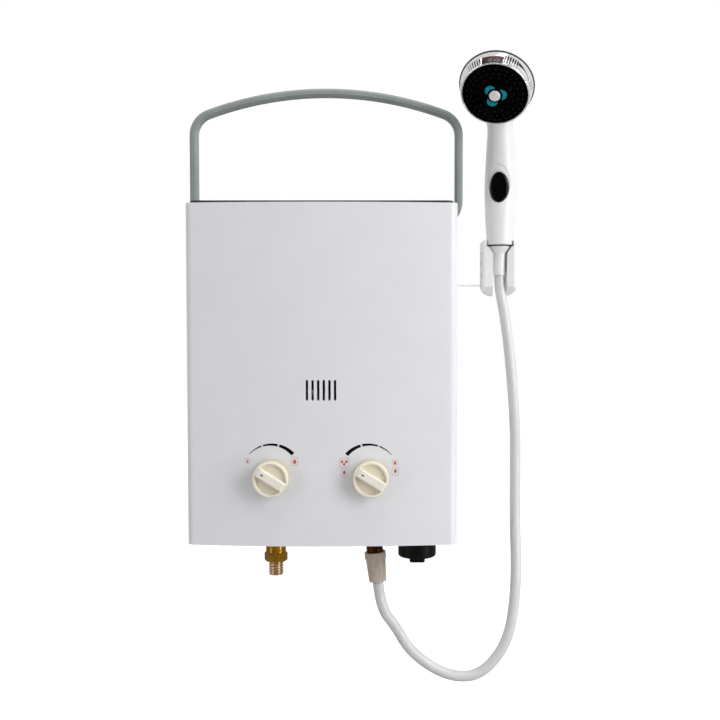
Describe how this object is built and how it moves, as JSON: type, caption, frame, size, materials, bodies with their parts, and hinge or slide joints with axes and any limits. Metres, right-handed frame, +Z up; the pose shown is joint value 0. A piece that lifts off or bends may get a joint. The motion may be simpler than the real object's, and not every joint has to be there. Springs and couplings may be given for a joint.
{
  "type": "portable propane water heater",
  "caption": "Wall-hung portable gas water heater with arched carrying handle, two control knobs, viewing slots, gas and water fittings, and a shower handset on a hose in a side holder.",
  "frame": {"origin": "midway between the two wall holes, on the back face of the case", "axes": "+X to the right of somebody facing the knobs, +Y into the wall, +Z up"},
  "size_m": [0.3893, 0.1364, 0.7063],
  "materials": {
    "cover_paint": "semi-gloss light grey-white powder coat",
    "zinc_steel": "zinc-plated sheet steel",
    "flue_dark": "matt heat-resistant dark coat",
    "screw_steel": "zinc-plated",
    "handle_plastic": "satin moulded plastic, grey with a green cast",
    "bush_plastic": "satin black nylon",
    "knob_ivory": "smooth ivory plastic",
    "brass": "machined, slightly tarnished",
    "brass_pale": "machined thread",
    "brass_dark": "dark tarnished brass",
    "valve_aluminium": "die-cast",
    "copper": "bare copper",
    "burner_steel": "heat-tinted steel",
    "ceramic": "glazed white ceramic",
    "lead_insulation": "orange silicone insulation",
    "black_plastic": "fine-textured black plastic",
    "black_rubber": "matt black rubber",
    "valve_nylon": "glass-filled nylon",
    "cell_jacket": "plain battery jacket",
    "nut_plastic": "warm grey moulded plastic",
    "hose_pvc": "translucent white fibre-reinforced PVC",
    "white_plastic": "smooth white plastic",
    "chrome": "polished chrome plating on plastic",
    "face_black": "polished black plastic",
    "nozzle_rubber": "grey silicone",
    "teal_plastic": "teal moulded plastic",
    "filter_mesh": "stainless mesh"
  },
  "bodies": {
    "case": {"back_panel": "zinc_steel", "front_cover": "cover_paint", "bottom_plate": "zinc_steel", "flue_cap": "flue_dark", "cover_screws": "screw_steel", "handle_bushes": "bush_plastic", "gas_inlet_adapter": "brass", "gas_inlet_nipple": "brass_pale", "gas_valve_body": "valve_aluminium", "gas_solenoid": "black_plastic", "gas_manifold": "valve_aluminium", "gas_injectors": "brass", "burner_blades": "burner_steel", "burner_frame": "zinc_steel", "spark_electrodes": "ceramic", "flame_sensor": "ceramic", "ignition_leads": "lead_insulation", "igniter_module": "black_plastic", "exchanger_shell": "copper", "exchanger_fins": "copper", "exchanger_coil": "copper", "flue_hood": "zinc_steel", "cold_pipe": "copper", "hot_pipe": "copper", "thermal_cutoff": "screw_steel", "water_inlet_fitting": "brass", "inlet_filter": "filter_mesh", "water_valve_body": "valve_nylon", "water_valve_cover": "valve_nylon", "valve_diaphragm": "black_rubber", "microswitch": "black_plastic", "drain_plug": "brass", "battery_tube": "black_plastic", "batteries": "cell_jacket", "battery_contacts": "screw_steel", "water_outlet_fitting": "brass_dark", "hose_washer": "black_rubber", "hose_nut": "nut_plastic", "shower_hose": "hose_pvc", "shower_holder": "white_plastic", "holder_strap": "white_plastic", "holder_screws": "screw_steel"},
    "handle": {"handle": "handle_plastic", "handle_clips": "screw_steel"},
    "gas_control": {"gas_knob": "knob_ivory", "gas_valve_stem": "brass"},
    "water_control": {"water_knob": "knob_ivory", "water_valve_stem": "brass"},
    "valve_rod": {"valve_push_rod": "screw_steel"},
    "battery_cap": {"battery_cap": "black_plastic"},
    "handset": {"handset_body": "white_plastic", "head_ring": "chrome", "head_seal": "black_rubber", "tail_ring": "black_rubber", "hose_end_cone": "white_plastic"},
    "spray_dial": {"spray_face": "face_black", "spray_nozzles": "nozzle_rubber", "face_petals": "teal_plastic", "centre_cap": "white_plastic"},
    "pause_button": {"pause_button": "face_black"}
  },
  "joints": [
    {"name": "handle_fold", "type": "hinge", "parent": "case", "child": "handle", "pos_m": [0, -0.0248, 0.034], "axis": [1, 0, 0], "range_deg": [-90, 90]},
    {"name": "gas_knob_turn", "type": "hinge", "parent": "case", "child": "gas_control", "pos_m": [-0.0533, -0.12, -0.254], "axis": [0, 1, 0], "range_deg": [0, 126]},
    {"name": "water_knob_turn", "type": "hinge", "parent": "case", "child": "water_control", "pos_m": [0.0533, -0.12, -0.254], "axis": [0, 1, 0], "range_deg": [0, 126]},
    {"name": "water_valve_stroke", "type": "slide", "parent": "case", "child": "valve_rod", "axis": [-1, 0, 0], "range_m": [0, 0.004], "stiffness_N_per_m": 600, "springref_m": -0.001},
    {"name": "battery_cap_turn", "type": "hinge", "parent": "case", "child": "battery_cap", "pos_m": [0.103, -0.088, -0.345], "axis": [0, 0, -1], "range_deg": [0, 60]},
    {"name": "handset_lift", "type": "slide", "parent": "case", "child": "handset", "axis": [0, 0, 1], "range_m": [0, 0.06]},
    {"name": "spray_dial_turn", "type": "hinge", "parent": "handset", "child": "spray_dial", "pos_m": [0.1885, -0.07287, 0.1624], "axis": [-0.1685, -0.7298, -0.6626], "range_deg": [0, 240]},
    {"name": "pause_button_press", "type": "slide", "parent": "handset", "child": "pause_button", "axis": [0.225, 0.9744, 0], "range_m": [0, 0.0024], "stiffness_N_per_m": 400, "springref_m": -0.001}
  ]
}
